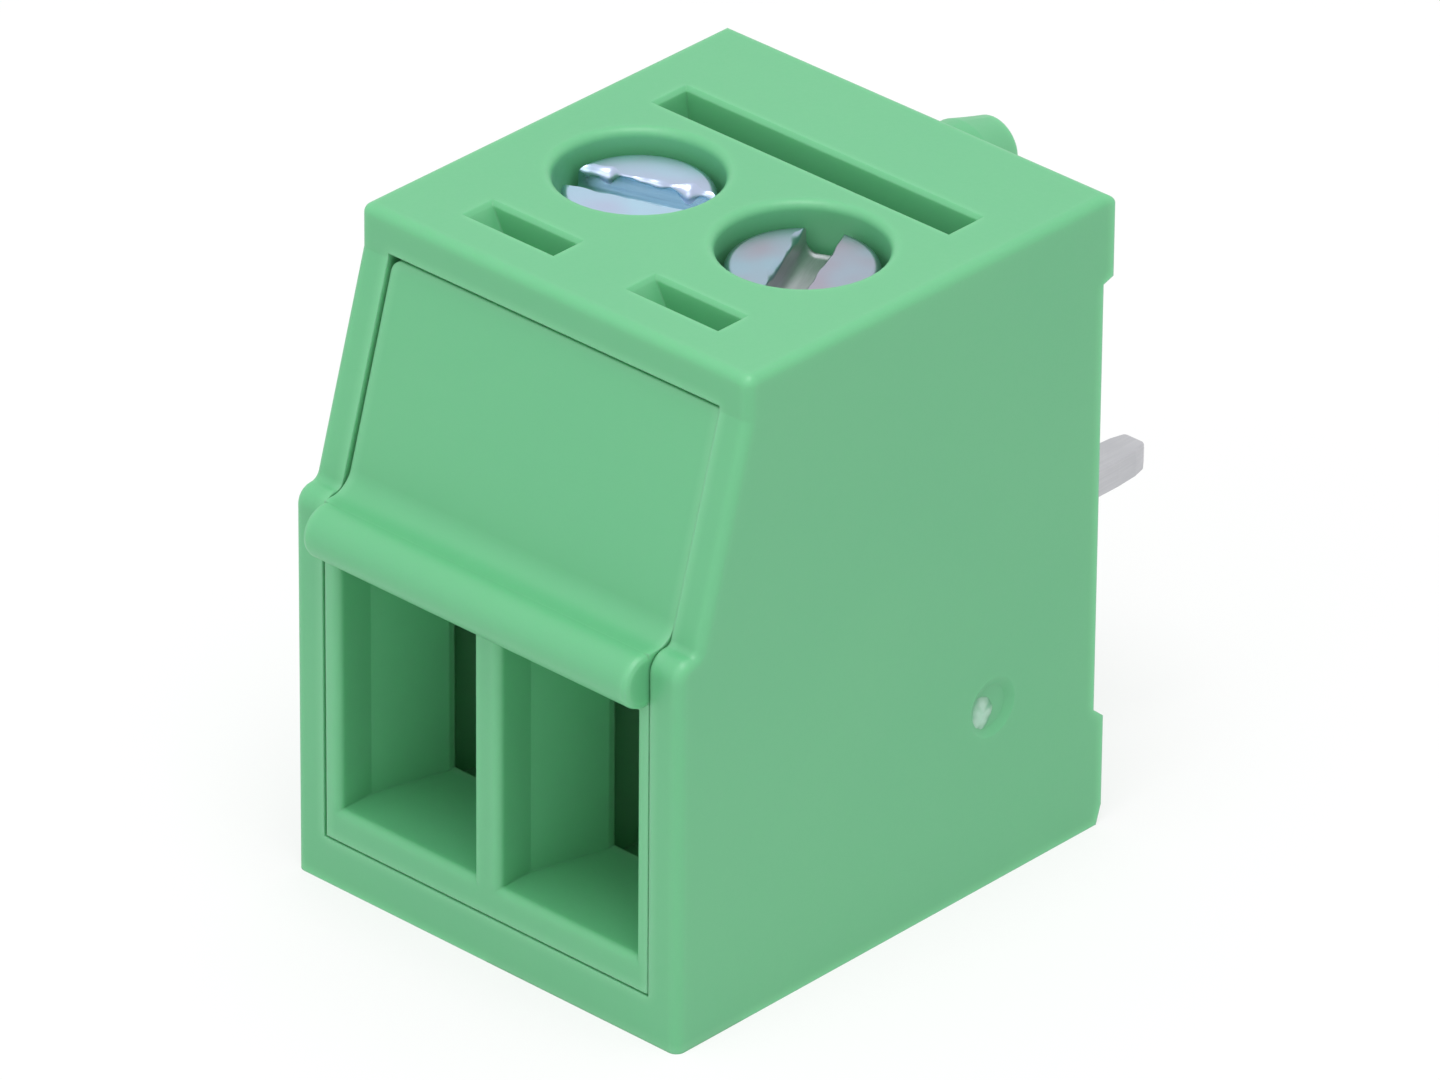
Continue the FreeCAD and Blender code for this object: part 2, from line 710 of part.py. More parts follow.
def make_contact(pole):
    """Current bar and solder pin, stamped in one piece."""
    body = new_body(f"contact_{pole}", pole_x(pole))
    bar = bar_width / 2
    pin = S.pin_width / 2
    tip = S.pin_tip / 2
    end = seat_y + S.pin_reach
    outline = [
        (-bar, S.insert_depth),
        (bar, S.insert_depth),
        (bar, chamber_back),
        (pin, chamber_back),
        (pin, end - S.pin_taper),
        (pin * 0.9, end - S.pin_taper * 0.45),
        (pin * 0.7, end - S.pin_taper * 0.15),
        (tip, end),
        (-tip, end),
        (-(pin * 0.7), end - S.pin_taper * 0.15),
        (-(pin * 0.9), end - S.pin_taper * 0.45),
        (-pin, end - S.pin_taper),
        (-pin, chamber_back),
        (-bar, chamber_back),
    ]
    sketch = polygon(body, f"Stamping{pole}", "XY_Plane", outline, S.bar_height)
    stamped = extrude(body, "Pad", f"Strip{pole}", sketch, S.bar_thickness)
    tip_edges = edges(stamped, lambda e: runs_along(e, "X") and near(middle(e).y, end))
    bevel_edges(body, f"TipBevel{pole}", stamped, tip_edges, S.pin_tip_bevel)
    return body


def check_document():
    """Stop if an object of the document has failed."""
    for item in doc.Objects:
        bad = [word for word in item.State if word in ("Invalid", "Error")]
        if bad:
            raise RuntimeError(f"{item.Name}: {bad}")


def export(bodies):
    os.makedirs("parts", exist_ok=True)
    for body in bodies:
        shape = body.Shape
        if shape.isNull() or not shape.isValid() or len(shape.Solids) != 1:
            raise RuntimeError(f"{body.Label}: not one valid solid")
        shape.exportStep(f"parts/{body.Label}.step")
        print(f"{body.Label}: {shape.Volume:.3f} mm3")


bodies = [make_housing(), make_insert()]
for number in POLES:
    bodies += [make_cage(number), make_screw(number), make_contact(number)]
doc.recompute()
check_document()
export(bodies)
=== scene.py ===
"""Looks of a two-pole terminal block for circuit boards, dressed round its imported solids.

Lengths inside the classes are millimetres; MM turns them to the scene's metres.
"""

import logging
import math
from dataclasses import dataclass, field
from enum import Enum
from typing import Any

import bmesh
import bpy
from mathutils import Matrix, Vector, noise as lattice


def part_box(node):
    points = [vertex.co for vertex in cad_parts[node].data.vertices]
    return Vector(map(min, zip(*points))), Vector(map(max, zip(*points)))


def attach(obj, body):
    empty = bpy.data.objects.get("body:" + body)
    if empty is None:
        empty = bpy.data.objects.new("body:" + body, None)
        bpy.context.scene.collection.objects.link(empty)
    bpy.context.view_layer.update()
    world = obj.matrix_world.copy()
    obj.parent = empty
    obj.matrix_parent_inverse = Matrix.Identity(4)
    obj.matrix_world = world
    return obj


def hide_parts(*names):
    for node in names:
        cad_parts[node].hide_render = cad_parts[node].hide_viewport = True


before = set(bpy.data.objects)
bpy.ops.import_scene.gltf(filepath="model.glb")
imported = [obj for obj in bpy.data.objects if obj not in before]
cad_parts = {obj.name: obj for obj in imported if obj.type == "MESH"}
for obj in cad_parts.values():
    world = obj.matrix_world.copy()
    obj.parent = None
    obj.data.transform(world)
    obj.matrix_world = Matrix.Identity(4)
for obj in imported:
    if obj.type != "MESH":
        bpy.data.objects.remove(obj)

log = logging.getLogger("terminal_block")
MM = 0.001
PER_MM = 1000.0
IMAGE_WIDTH = 1440
SENSOR_MM = 36.0
POLES = (1, 2)
EDGE_SAMPLES = 6
WHITE = "#FFFFFF"


def linear(code: str) -> tuple[float, float, float, float]:
    """Turn an sRGB hex colour to linear light.

    Args:
        code: six hex digits with a leading mark.

    Returns:
        Red, green, blue and alpha.
    """
    shares = [int(code[i : i + 2], 16) / 255 for i in (1, 3, 5)]
    light = [v / 12.92 if v <= 0.04045 else ((v + 0.055) / 1.055) ** 2.4 for v in shares]
    return (light[0], light[1], light[2], 1.0)


def add_node(
    tree: bpy.types.NodeTree, kind: str, inputs: dict[str | int, Any] | None = None, **settings: Any
) -> bpy.types.Node:
    """Add a node with its settings, and set or link its inputs.

    Args:
        tree: the node tree.
        kind: the node's type name.
        inputs: for each input's name or number, a value or the socket it is linked from.
        **settings: properties of the node.

    Returns:
        The new node.
    """
    node = tree.nodes.new(kind)
    for name, value in settings.items():
        setattr(node, name, value)
    for key, value in (inputs or {}).items():
        if isinstance(value, bpy.types.NodeSocket):
            tree.links.new(value, node.inputs[key])
        else:
            node.inputs[key].default_value = value
    return node


def new_material(name: str) -> tuple[bpy.types.Material, bpy.types.NodeTree]:
    """Make a material with an empty node tree.

    Args:
        name: the material's name.

    Returns:
        The material and its tree.
    """
    material = bpy.data.materials.new(name)
    material.use_nodes = True
    material.node_tree.nodes.clear()
    return material, material.node_tree


def finish_tree(tree: bpy.types.NodeTree, shader: bpy.types.Node) -> None:
    """Link a shader to the material's output.

    Args:
        tree: the material's tree.
        shader: the node whose first output is the surface.
    """
    add_node(tree, "ShaderNodeOutputMaterial", {"Surface": shader.outputs[0]})


def millimetres(tree: bpy.types.NodeTree, stretch: tuple[float, float, float] = (1, 1, 1)) -> Any:
    """The object's own coordinates in millimetres.

    Args:
        tree: the material's tree.
        stretch: extra scale along X, Y and Z.

    Returns:
        The socket that gives them.
    """
    place = add_node(tree, "ShaderNodeTexCoord")
    scale = tuple(PER_MM * s for s in stretch)
    mapping = add_node(
        tree, "ShaderNodeMapping", {"Vector": place.outputs["Object"], "Scale": scale}
    )
    return mapping.outputs[0]


def mixed_colour(tree: bpy.types.NodeTree, share: Any, first: str, second: str) -> Any:
    """Blend two colours.

    Args:
        tree: the material's tree.
        share: the socket that gives the second colour's share.
        first: sRGB hex of the first colour.
        second: sRGB hex of the second.

    Returns:
        The socket of the blended colour.
    """
    node = add_node(tree, "ShaderNodeMix", {0: share, 6: linear(first), 7: linear(second)}, data_type="RGBA")
    return node.outputs[2]


def overlaid(tree: bpy.types.NodeTree, share: Any, below: Any, above: str) -> Any:
    """Lay a colour over another.

    Args:
        tree: the material's tree.
        share: the socket that gives the upper colour's share.
        below: the socket of the lower colour.
        above: sRGB hex of the upper colour.

    Returns:
        The socket of the result.
    """
    node = add_node(tree, "ShaderNodeMix", {0: share, 6: below, 7: linear(above)}, data_type="RGBA")
    return node.outputs[2]


def spread(tree: bpy.types.NodeTree, value: Any, low: float, high: float) -> Any:
    """Spread a 0 to 1 value over a range.

    Args:
        tree: the material's tree.
        value: the socket of the value.
        low: what 0 becomes.
        high: what 1 becomes.

    Returns:
        The socket of the result.
    """
    node = add_node(tree, "ShaderNodeMapRange", {"Value": value, "To Min": low, "To Max": high})
    return node.outputs[0]


def noise(tree: bpy.types.NodeTree, place: Any, size: float, detail: float = 2.0) -> Any:
    """Soft noise of a real grain size.

    Args:
        tree: the material's tree.
        place: coordinates in millimetres.
        size: grain in millimetres.
        detail: octaves.

    Returns:
        The socket of a value from 0 to 1.
    """
    node = add_node(
        tree, "ShaderNodeTexNoise", {"Vector": place, "Scale": 1 / size, "Detail": detail, "Roughness": 0.55}
    )
    return node.outputs["Fac"]


def bumped(tree: bpy.types.NodeTree, height: Any, depth: float, below: Any = None) -> Any:
    """Surface normal with a fine relief.

    Args:
        tree: the material's tree.
        height: the socket of a height from 0 to 1.
        depth: what 1 means, in millimetres.
        below: the socket of a normal that this one is laid over.

    Returns:
        The socket of the normal.
    """
    inputs = {"Height": height, "Distance": depth * MM, "Strength": 1.0}
    if below is not None:
        inputs["Normal"] = below
    return add_node(tree, "ShaderNodeBump", inputs).outputs[0]


@dataclass(frozen=True)
class MouldedPolyamide:
    """Green polyamide 66, injection moulded in a spark-eroded tool.

    To the eye: an even, satin green that is never quite flat, with soft corners painted a little paler as a
    highlight.
    """

    name: str = "green_polyamide_moulded"
    body: str = "#5EB27F"
    drift: str = "#64B681"
    ior: float = 1.6
    roughness: tuple[float, float] = (0.40, 0.50)
    flow_size: float = 5.0
    pigment_size: float = 0.35
    pigment_share: float = 0.16
    spark_grain: float = 0.09
    spark_depth: float = 0.0016
    shrink_size: float = 2.6
    shrink_depth: float = 0.012
    glow: float = 0.25
    glow_reach: tuple[float, float, float] = (0.25, 0.6, 0.35)
    # The paler green painted along edges and thin walls as a highlight.
    edge: str = "#7ECB97"
    edge_reach: float = 0.22
    edge_thinnest: float = 0.45
    edge_highlight_share: float = 0.6
    edge_round: float = 0.05
    # Pale top of the stub: stress whitening together with a painted highlight; None leaves it out.
    whitening_and_highlight: str | None = None
    whitening_and_highlight_from: float = -0.01
    whitening_and_highlight_to: float = 0.05
    patch_size: float = 0.22
    patch_reach: float = 0.05

    def material(self) -> bpy.types.Material:
        """Build the material: slow colour drift of the melt, fine pigment specks and the tool's grain.

        Returns:
            The material.
        """
        material, tree = new_material(self.name)
        place = millimetres(tree)
        flow = noise(tree, place, self.flow_size, 1.0)
        # Pigment lies in clusters of a few hundredths of a millimetre, drawn ten times as coarse to show.
        pigment = noise(tree, place, self.pigment_size, 3.0)
        specks = spread(tree, pigment, -self.pigment_share, self.pigment_share)
        both = add_node(
            tree, "ShaderNodeMath", {0: flow, 1: specks}, operation="ADD", use_clamp=True
        ).outputs[0]
        # The tool's spark grain is about 0.03 mm; it is drawn three times as coarse so that it shows.
        grain = noise(tree, place, self.spark_grain, 2.0)
        # Painted highlight: thin edges and thin walls of the polyamide get a paler green than the thick
        # walls, where inward rays soon leave the solid; it stands for light shining through and along the
        # edges.
        thick = add_node(
            tree, "ShaderNodeAmbientOcclusion", {"Distance": self.edge_reach * MM},
            inside=True, only_local=True, samples=EDGE_SAMPLES,
        ).outputs["AO"]
        painted_edge_highlight = add_node(
            tree, "ShaderNodeMapRange",
            {"Value": thick, "From Min": 1.0, "From Max": self.edge_thinnest, "To Max": self.edge_highlight_share},
        ).outputs[0]
        colour = overlaid(tree, painted_edge_highlight, mixed_colour(tree, both, self.body, self.drift), self.edge)
        if self.whitening_and_highlight is not None:
            # Paler towards the top of the stub, where it tore off: stress whitening of the stretched
            # polyamide, and also a painted highlight that lifts the stub's shaded sides.
            height = add_node(tree, "ShaderNodeSeparateXYZ", {0: place}).outputs["X"]
            patch = noise(tree, place, self.patch_size, 1.0)
            patch = spread(tree, patch, -self.patch_reach, self.patch_reach)
            height = add_node(tree, "ShaderNodeMath", {0: height, 1: patch}, operation="ADD").outputs[0]
            torn_and_highlit = add_node(
                tree, "ShaderNodeMapRange",
                {"Value": height, "From Min": self.whitening_and_highlight_from, "From Max": self.whitening_and_highlight_to},
            ).outputs[0]
            colour = overlaid(tree, torn_and_highlit, colour, self.whitening_and_highlight)
        sink = noise(tree, place, self.shrink_size, 0.0)
        # The tool leaves every corner of the moulding a little round, so that each shows as a soft line.
        rounded = add_node(
            tree, "ShaderNodeBevel", {"Radius": self.edge_round * MM}, samples=EDGE_SAMPLES
        ).outputs[0]
        normal = bumped(tree, grain, self.spark_depth, bumped(tree, sink, self.shrink_depth, rounded))
        shader = add_node(
            tree,
            "ShaderNodeBsdfPrincipled",
            {
                "Base Color": colour,
                "Roughness": spread(tree, grain, *self.roughness),
                "IOR": self.ior,
                "Subsurface Weight": self.glow,
                "Subsurface Radius": self.glow_reach,
                "Subsurface Scale": MM,
                "Normal": normal,
            },
        )
        finish_tree(tree, shader)
        return material


@dataclass(frozen=True)
class ZincPlatedSteel:
    """Turned steel, zinc plated, with a clear bluish passivation film.

    To the eye: a soft mirror that drifts between blue and lilac, because the film is as thin as light waves.
    """

    name: str
    blue: str
    lilac: str
    roughness: tuple[float, float] = (0.26, 0.34)
    tint_size: float = 1.1
    tint_range: tuple[float, float] = (0.35, 0.65)
    bloom_size: float = 0.14
    ring_pitch: float = 0.09
    ring_depth: float = 0.0002
    ring_waver: float = 0.6

    def material(self) -> bpy.types.Material:
        """Build the material: wandering tints, a fine plating bloom and the rings left by facing the head.

        Returns:
            The material.
        """
        material, tree = new_material(self.name)
        place = millimetres(tree)
        tint = add_node(
            tree, "ShaderNodeMapRange",
            {
                "Value": noise(tree, place, self.tint_size, 1.0),
                "From Min": self.tint_range[0],
                "From Max": self.tint_range[1],
            },
        ).outputs[0]
        # The plating's crystals are too fine to see; the bloom is drawn in the patches where they differ.
        bloom = noise(tree, place, self.bloom_size, 3.0)
        # The wave texture repeats every pi / (10 * scale), so this scale makes one ring each pitch. The real
        # feed marks are about 0.03 mm apart; they are drawn three times as coarse so that they show.
        rings = add_node(
            tree,
            "ShaderNodeTexWave",
            {
                "Vector": place,
                "Scale": math.pi / (10 * self.ring_pitch),
                "Distortion": self.ring_waver,
                "Detail": 1.0,
            },
            wave_type="RINGS",
            rings_direction="Z",
        ).outputs["Fac"]
        shader = add_node(
            tree,
            "ShaderNodeBsdfPrincipled",
            {
                "Base Color": mixed_colour(tree, tint, self.blue, self.lilac),
                "Metallic": 1.0,
                "Roughness": spread(tree, bloom, *self.roughness),
                "Normal": bumped(tree, rings, self.ring_depth),
            },
        )
        finish_tree(tree, shader)
        return material


@dataclass(frozen=True)
class RolledMetal:
    """Plated metal whose surface was rolled or sawn in one direction.

    To the eye: fine lines along one way, and a soft gloss that differs a little from patch to patch.
    """

    name: str
    light: str
    shade: str
    roughness: tuple[float, float]
    grain_width: float
    grain_length: float
    grain_depth: float
    patch_size: float = 0.9
    contrast: float = 2.0
    along_x: bool = False

    def material(self) -> bpy.types.Material:
        """Build the material: rolling or sawing lines stretched one way over slow patches of the plating.

        Returns:
            The material.
        """
        material, tree = new_material(self.name)
        along = self.grain_width / self.grain_length
        stretch = (along, 1, 1) if self.along_x else (1, along, 1)
        # Real rolling and sawing lines are about 0.015 mm apart; these are three times as coarse, to show.
        lines = noise(tree, millimetres(tree, stretch), self.grain_width, 2.0)
        patches = noise(tree, millimetres(tree), self.patch_size, 2.0)
        share = add_node(tree, "ShaderNodeMath", {0: lines, 1: patches}, operation="MULTIPLY").outputs[0]
        share = spread(tree, share, 0.0, self.contrast)
        shader = add_node(
            tree,
            "ShaderNodeBsdfPrincipled",
            {
                "Base Color": mixed_colour(tree, share, self.shade, self.light),
                "Metallic": 1.0,
                "Roughness": spread(tree, patches, *self.roughness),
                "Normal": bumped(tree, lines, self.grain_depth),
            },
        )
        finish_tree(tree, shader)
        return material


# Every outer face of the two mouldings: satin green, with a painted highlight along the edges.
GREEN = MouldedPolyamide()
# The stub where the runner was torn off: dull, rough, with a painted highlight along its edges, and paler
# towards its top: stress whitening where the plastic was stretched, together with a painted highlight that
# lifts its shaded sides.
TORN = MouldedPolyamide(
    "green_polyamide_torn_gate", "#5FB380", "#6BB889", roughness=(0.55, 0.75), flow_size=0.4,
    spark_depth=0.004, edge="#6CB78A", edge_round=0.01, whitening_and_highlight="#A9D6BC",
)
# The passivation film differs from screw to screw: a thin one looks blue, a thicker one lilac and greyer.
ZINC: dict[int, ZincPlatedSteel] = {
    1: ZincPlatedSteel("zinc_plated_steel_turned_blue", "#B3D4E8", "#B8C4DE"),
    2: ZincPlatedSteel("zinc_plated_steel_turned_lilac", "#9FBACA", "#A9A6B6"),
}
# The saw leaves bright lines along the driver slot, glossier in the first screw than in the second.
SAWN: dict[int, RolledMetal] = {
    1: RolledMetal(
        "zinc_plated_steel_sawn_blue", "#C9DDEA", "#AFCDDE", (0.18, 0.28), 0.04, 0.5, 0.002, along_x=True
    ),
    2: RolledMetal(
        "zinc_plated_steel_sawn_lilac", "#C4C6CB", "#ACAEB3", (0.36, 0.46), 0.04, 0.5, 0.002, along_x=True
    ),
}
# Bright nickel over brass strip: a warm silver with a clear gloss, seen in the depth of the wire entries.
NICKEL = RolledMetal("nickel_plated_brass_folded", "#D6D0C4", "#B9B2A3", (0.22, 0.34), 0.05, 0.9, 0.0012)
# Matt tin over bronze strip: a pale, slightly cool grey with a dull sheen.
TIN = RolledMetal("tin_plated_bronze_stamped", "#C8C8CC", "#B6B7BB", (0.30, 0.44), 0.045, 1.2, 0.0006)


class Slot(Enum):
    """The record's material slots."""

    GREEN_MOULDING = "green_moulding"
    ZINC_STEEL = "zinc_steel"
    NICKEL_BRASS = "nickel_brass"
    TINNED_BRONZE = "tinned_bronze"


def give_material(piece: bpy.types.Object, *materials: bpy.types.Material) -> None:
    """Put materials on a piece; all its faces start with the first.

    Args:
        piece: the object.
        *materials: its materials.
    """
    piece.data.materials.clear()
    for material in materials:
        piece.data.materials.append(material)


def new_piece(name: str, mesh: bpy.types.Mesh, place: Vector | None = None) -> bpy.types.Object:
    """Make an object from a mesh and link it to the scene.

    Args:
        name: the piece's name.
        mesh: its mesh.
        place: where its origin lies, in metres.

    Returns:
        The object.
    """
    piece = bpy.data.objects.new(name, mesh)
    if place is not None:
        piece.location = place
    bpy.context.scene.collection.objects.link(piece)
    return piece


def bake_modifiers(piece: bpy.types.Object) -> None:
    """Replace a piece's mesh by what its modifiers make of it.

    Args:
        piece: the object, whose modifiers are then removed.
    """
    made = bpy.data.meshes.new_from_object(piece.evaluated_get(bpy.context.evaluated_depsgraph_get()))
    piece.modifiers.clear()
    piece.data = made


@dataclass
class SoftEdges:
    """Modifiers that give a carried-over solid the small edge rounding of a folded or stamped strip."""

    radius: float
    segments: int = 3
    sharp_from: float = 32.0
    flat_to: float = 0.4
    weld_reach: float = 0.0005

    def dress(self, piece: bpy.types.Object) -> None:
        """Weld the facets, join flat ones and round what stays sharp.

        Args:
            piece: a solid's object; its own mesh isn't touched.
        """
        weld = piece.modifiers.new("weld", "WELD")
        weld.merge_threshold = self.weld_reach * MM
        flat = piece.modifiers.new("join_flats", "DECIMATE")
        flat.decimate_type = "DISSOLVE"
        flat.angle_limit = math.radians(self.flat_to)
        bevel = piece.modifiers.new("edge_rounding", "BEVEL")
        bevel.width = self.radius * MM
        bevel.segments = self.segments
        bevel.limit_method = "ANGLE"
        bevel.angle_limit = math.radians(self.sharp_from)
        bevel.harden_normals = True
        bevel.use_clamp_overlap = True


@dataclass
class Mouldings:
    """The green shell and the front insert that snaps into it."""

    names: tuple[str, ...] = ("housing", "front_insert")

    def build(self, material: bpy.types.Material) -> None:
        """Dress both mouldings.

        Args:
            material: their finish.
        """
        for name in self.names:
            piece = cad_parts[name]
            give_material(piece, material)
            log.info("dressed %s", name)


@dataclass
class ClampScrew:
    """One slotted clamp screw with its rolled thread, turned about its own axis.

    slot_wear is the rounding of the slot's two upper edges. Smooth noise along the slot dents them:
    dent_share says how much, dent_pattern and dent_row pick the noise, and least_wear is the share that
    always stays.
    burr_height is the ridge that the saw left where the slot's floor runs out.
    """

    pole: int
    slot_turn: float
    slot_wear: tuple[float, float]
    dent_share: float
    dent_pattern: float
    burr_height: float
    head_height: float = 1.29
    head_round: float = 0.15
    slot_width: float = 0.70
    slot_depth: float = 0.55
    slot_corner: float = 0.24
    slot_steps: int = 90
    slot_overhang: float = 1.3
    cutter_rise: float = 0.5
    arc_steps: int = 6
    dent_length: float = 0.38
    dent_row: float = 3.1
    least_wear: float = 0.3
    flare_depth: float = 0.97
    burr_width: float = 0.05
    burr_inset: float = 1.5
    shank_diameter: float = 2.0
    thread_pitch: float = 0.4
    thread_depth: float = 0.23
    root_share: float = 0.12
    flank_share: float = 0.68
    neck_length: float = 0.75
    head_overlap: float = 0.02
    tip_bevel: float = 0.25
    around: int = 96
    rows_per_pitch: int = 10
    weld_reach: float = 0.003
    level_reach: float = 0.0005
    flat_to: float = 0.5
    sharp_from: float = 40.0
    side_margin: float = 1.01
    floor_margin: float = 0.999

    def _quarter(self) -> list[float]:
        """Angles of a quarter turn, for every rounding on the head."""
        return [math.pi / 2 * k / self.arc_steps for k in range(self.arc_steps + 1)]

    def _lathe(self, profile: list[tuple[float, float]], name: str) -> bpy.types.Mesh:
        """Turn a half section about Z.

        Args:
            profile: radius and height of each point, from the bottom axis to the top axis.
            name: the mesh's name.

        Returns:
            A closed mesh.
        """
        work = bmesh.new()
        rows = []
        for radius, height in profile:
            if radius < 1e-9:
                rows.append([work.verts.new((0, 0, height * MM))])
                continue
            ring = []
            for i in range(self.around):
                angle = math.tau * i / self.around
                spot = (radius * MM * math.cos(angle), radius * MM * math.sin(angle), height * MM)
                ring.append(work.verts.new(spot))
            rows.append(ring)
        for low, high in zip(rows, rows[1:]):
            for i in range(self.around):
                j = (i + 1) % self.around
                corners = [low[i % len(low)], low[j % len(low)], high[j % len(high)], high[i % len(high)]]
                unique = list(dict.fromkeys(corners))
                if len(unique) > 2:
                    work.faces.new(unique)
        mesh = bpy.data.meshes.new(name)
        work.to_mesh(mesh)
        work.free()
        return mesh

    def _head_profile(self, radius: float, low: float, top: float) -> list[tuple[float, float]]:
        """Half section of the head, with its rounded rim.

        Args:
            radius: radius of the head.
            low: height of the head's underside.
            top: height of its top.

        Returns:
            Points of the section.
        """
        edge = self.head_round
        rim = [
            (radius - edge + edge * math.cos(a), top - edge + edge * math.sin(a))
            for a in self._quarter()
        ]
        # The lower edge is a third as round as the rim, and the underside starts inside the shank.
        under = self.head_round / 3
        neck = self.shank_diameter / 2 * 0.8
        return [(0, low), (neck, low), (radius - under, low), (radius, low + under)] + rim + [(0, top)]

    def _thread_radius(self, height: float, turn: float, tip: float, neck: float) -> float:
        """Radius of the threaded shank at one point.

        Args:
            height: height of the point.
            turn: its angle as a share of a full turn.
            tip: height of the screw's tip.
            neck: height where the thread has run out.

        Returns:
            The radius in millimetres.
        """
        outer = self.shank_diameter / 2
        share = (height / self.thread_pitch - turn) % 1.0
        ridge = 1 - abs(2 * share - 1)
        crest = min(1.0, max(0.0, (ridge - self.root_share) / self.flank_share))
        run_out = min(1.0, max(0.0, (neck - height) / self.thread_pitch))
        bevel = outer - self.tip_bevel + (height - tip)
        radius = outer - self.thread_depth * (1 - crest * run_out)
        return min(radius, bevel)

    def _shank(self, tip: float, low: float) -> bpy.types.Mesh:
        """The shank with its thread, closed at the tip and reaching into the head.

        Args:
            tip: height of the tip.
            low: height of the head's underside.

        Returns:
            The mesh.
        """
        neck = low - self.neck_length
        step = self.thread_pitch / self.rows_per_pitch
        count = int((neck - tip) / step)
        heights = [tip + step * k for k in range(count)] + [neck, low + self.head_overlap]
        work = bmesh.new()
        rows = []
        for height in heights:
            ring = []
            for i in range(self.around):
                turn = i / self.around
                radius = self._thread_radius(height, turn, tip, neck) * MM
                angle = math.tau * turn
                ring.append(work.verts.new((radius * math.cos(angle), radius * math.sin(angle), height * MM)))
            rows.append(ring)
        for low_ring, high_ring in zip(rows, rows[1:]):
            for i in range(self.around):
                j = (i + 1) % self.around
                work.faces.new([low_ring[i], low_ring[j], high_ring[j], high_ring[i]])
        work.faces.new(list(reversed(rows[0])))
        work.faces.new(rows[-1])
        mesh = bpy.data.meshes.new(f"shank_{self.pole}")
        work.to_mesh(mesh)
        work.free()
        return mesh

    def _slot_outline(self, x: float, radius: float, top: float) -> list[tuple[float, float]]:
        """Cross-section of the slot at one place: round bottom corners, and upper edges that drivers dented.

        Args:
            x: the place along the slot.
            radius: radius of the head.
            top: height of the head's top.

        Returns:
            Its points, up one side and down the other.
        """
        half = self.slot_width / 2
        corner = self.slot_corner
        from_rim = (abs(x) - radius + self.burr_width * self.burr_inset) / self.burr_width
        floor = top - self.slot_depth + self.burr_height * math.exp(-from_rim * from_rim)
        arc = self._quarter()
        bow = [(half - corner + corner * math.sin(a), floor + corner - corner * math.cos(a)) for a in arc]
        sides = []
        for side, wear in zip((1, -1), self.slot_wear):
            dent = lattice.noise(Vector((x / self.dent_length, self.dent_row * side, self.dent_pattern)))
            edge = wear * max(1 + self.dent_share * dent, self.least_wear)
            start = top - edge * self.flare_depth
            flare = [(half + edge - edge * math.cos(a), start + edge * math.sin(a)) for a in arc]
            upper = (half + edge, top + self.cutter_rise)
            sides.append([(side * y, z) for y, z in bow + flare + [upper]])
        return sides[0] + list(reversed(sides[1]))

    def _slot_cutter(self, radius: float, top: float) -> bpy.types.Object:
        """Bar of the driver slot's form.

        Args:
            radius: radius of the head.
            top: height of the head's top.

        Returns:
            A helper object that is removed after the cut.
        """
        reach = radius * self.slot_overhang
        work = bmesh.new()
        sections = []
        for k in range(self.slot_steps + 1):
            x = reach * (2 * k / self.slot_steps - 1)
            outline = self._slot_outline(x, radius, top)
            sections.append([work.verts.new(Vector((x, y, z)) * MM) for y, z in outline])
        count = len(sections[0])
        for near, far in zip(sections, sections[1:]):
            for i in range(count):
                j = (i + 1) % count
                work.faces.new([near[i], near[j], far[j], far[i]])
        work.faces.new(list(reversed(sections[0])))
        work.faces.new(sections[-1])
        bmesh.ops.recalc_face_normals(work, faces=work.faces)
        mesh = bpy.data.meshes.new("slot_cutter")
        work.to_mesh(mesh)
        work.free()
        return new_piece("slot_cutter", mesh)

    def _mark_slot(self, mesh: bpy.types.Mesh, top: float) -> None:
        """Join the flat top's facets and give the slot's faces the sawn finish.

        Args:
            mesh: the whole screw's mesh.
            top: height of the head's top.
        """
        work = bmesh.new()
        work.from_mesh(mesh)
        bmesh.ops.remove_doubles(work, verts=work.verts, dist=self.weld_reach * MM)
        level = (top - self.level_reach) * MM
        flat = [e for e in work.edges if min(v.co.z for v in e.verts) > level]
        bmesh.ops.dissolve_limit(work, angle_limit=math.radians(self.flat_to), verts=[], edges=flat)
        bmesh.ops.dissolve_degenerate(work, dist=self.weld_reach * MM, edges=work.edges)
        sawn = self.slot_width / 2 * self.side_margin * MM
        floor = (top - self.slot_depth) * self.floor_margin * MM
        for face in work.faces:
            centre = face.calc_center_median()
            if abs(centre.y) < sawn and floor < centre.z < top * MM:
                face.material_index = 1
        work.to_mesh(mesh)
        work.free()

